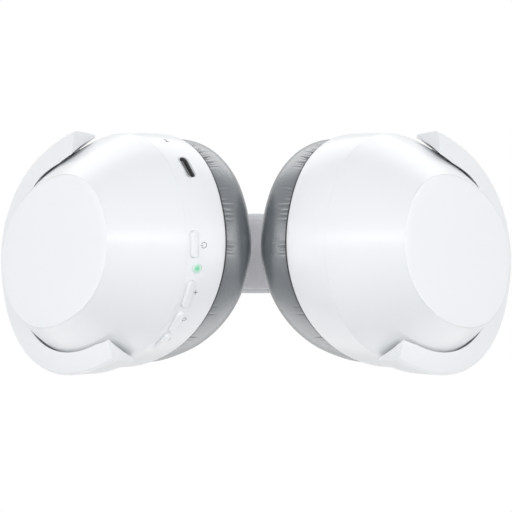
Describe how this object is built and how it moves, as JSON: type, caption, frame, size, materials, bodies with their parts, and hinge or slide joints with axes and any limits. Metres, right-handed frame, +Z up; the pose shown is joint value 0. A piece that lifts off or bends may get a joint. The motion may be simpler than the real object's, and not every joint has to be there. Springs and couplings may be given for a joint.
{
  "type": "over ear headphones",
  "caption": "White over ear headphones with oval cups, grey leatherette ear pads, horseshoe yokes, sliding arms and a padded headband.",
  "frame": {"origin": "underside of the headband cushion at the crown of the head", "axes": "+Z up, -Y to the front, -X to the wearer's right"},
  "size_m": [0.188, 0.0805, 0.2032],
  "materials": {
    "shell_white": "satin",
    "disc_white": "smooth",
    "pad_leather": "soft leatherette",
    "cushion_leather": "soft leatherette",
    "dark_plastic": "matte",
    "film": "thin film",
    "scrim_cloth": "fine weave",
    "steel": "satin",
    "bush_brass": "turned",
    "board": "solder mask",
    "cell": "foil pouch",
    "lamp": "clear green"
  },
  "bodies": {
    "headband": {"headband_shell": "shell_white", "spring_band": "steel", "cushion_carrier": "dark_plastic", "headband_cushion": "cushion_leather", "slider_guide_r": "dark_plastic", "slider_guide_l": "dark_plastic", "slider_cover_r": "shell_white", "slider_cover_l": "shell_white", "detent_spring_r": "steel", "detent_spring_l": "steel", "cover_screws": "steel"},
    "right_slider": {"slider_arm_r": "shell_white", "slider_strip_r": "steel"},
    "left_slider": {"slider_arm_l": "shell_white", "slider_strip_l": "steel"},
    "right_yoke": {"yoke_r": "shell_white", "swivel_pin_r": "steel", "pivot_pins_r": "steel"},
    "left_yoke": {"yoke_l": "shell_white", "swivel_pin_l": "steel", "pivot_pins_l": "steel"},
    "right_cup": {"cup_band_r": "shell_white", "outer_shell_r": "shell_white", "disc_cap_r": "disc_white", "pivot_bushes_r": "bush_brass", "baffle_r": "dark_plastic", "baffle_screws_r": "steel", "driver_basket_r": "dark_plastic", "driver_magnet_r": "steel", "diaphragm_r": "film", "scrim_r": "scrim_cloth", "pad_ring_r": "dark_plastic", "ear_pad_r": "pad_leather", "main_board": "board", "usb_socket": "steel", "microphone": "dark_plastic", "lamp_guide": "lamp", "key_switches": "dark_plastic"},
    "left_cup": {"cup_band_l": "shell_white", "outer_shell_l": "shell_white", "disc_cap_l": "disc_white", "pivot_bushes_l": "bush_brass", "baffle_l": "dark_plastic", "baffle_screws_l": "steel", "driver_basket_l": "dark_plastic", "driver_magnet_l": "steel", "diaphragm_l": "film", "scrim_l": "scrim_cloth", "pad_ring_l": "dark_plastic", "ear_pad_l": "pad_leather", "battery": "cell"},
    "power_button": {"power_key": "shell_white"},
    "louder_button": {"louder_key": "shell_white"},
    "call_button": {"call_key": "shell_white"},
    "quieter_button": {"quieter_key": "shell_white"}
  },
  "joints": [
    {"name": "right_slide", "type": "slide", "parent": "headband", "child": "right_slider", "axis": [0, 0, -1], "range_m": [0, 0.024]},
    {"name": "right_swivel", "type": "hinge", "parent": "right_slider", "child": "right_yoke", "pos_m": [-0.087, 0.008, -0.1], "axis": [0, 0, 1], "range_deg": [-10, 90]},
    {"name": "right_tilt", "type": "hinge", "parent": "right_yoke", "child": "right_cup", "pos_m": [-0.05439, 0, -0.15181], "axis": [0.1891, 0.9576, -0.2175], "range_deg": [0, 12]},
    {"name": "left_slide", "type": "slide", "parent": "headband", "child": "left_slider", "axis": [0, 0, -1], "range_m": [0, 0.024]},
    {"name": "left_swivel", "type": "hinge", "parent": "left_slider", "child": "left_yoke", "pos_m": [0.087, 0.008, -0.1], "axis": [0, 0, -1], "range_deg": [-10, 90]},
    {"name": "left_tilt", "type": "hinge", "parent": "left_yoke", "child": "left_cup", "pos_m": [0.05439, 0, -0.15181], "axis": [0.1891, -0.9576, 0.2175], "range_deg": [0, 12]},
    {"name": "power_press", "type": "slide", "parent": "right_cup", "child": "power_button", "axis": [-0.6561, 0.0043, 0.7547], "range_m": [0, 0.0005], "stiffness_N_per_m": 3000},
    {"name": "louder_press", "type": "slide", "parent": "right_cup", "child": "louder_button", "axis": [-0.5819, -0.4619, 0.6694], "range_m": [0, 0.0005], "stiffness_N_per_m": 3000},
    {"name": "call_press", "type": "slide", "parent": "right_cup", "child": "call_button", "axis": [-0.4729, -0.6931, 0.544], "range_m": [0, 0.0005], "stiffness_N_per_m": 3000},
    {"name": "quieter_press", "type": "slide", "parent": "right_cup", "child": "quieter_button", "axis": [-0.3641, -0.8319, 0.4188], "range_m": [0, 0.0005], "stiffness_N_per_m": 3000}
  ]
}
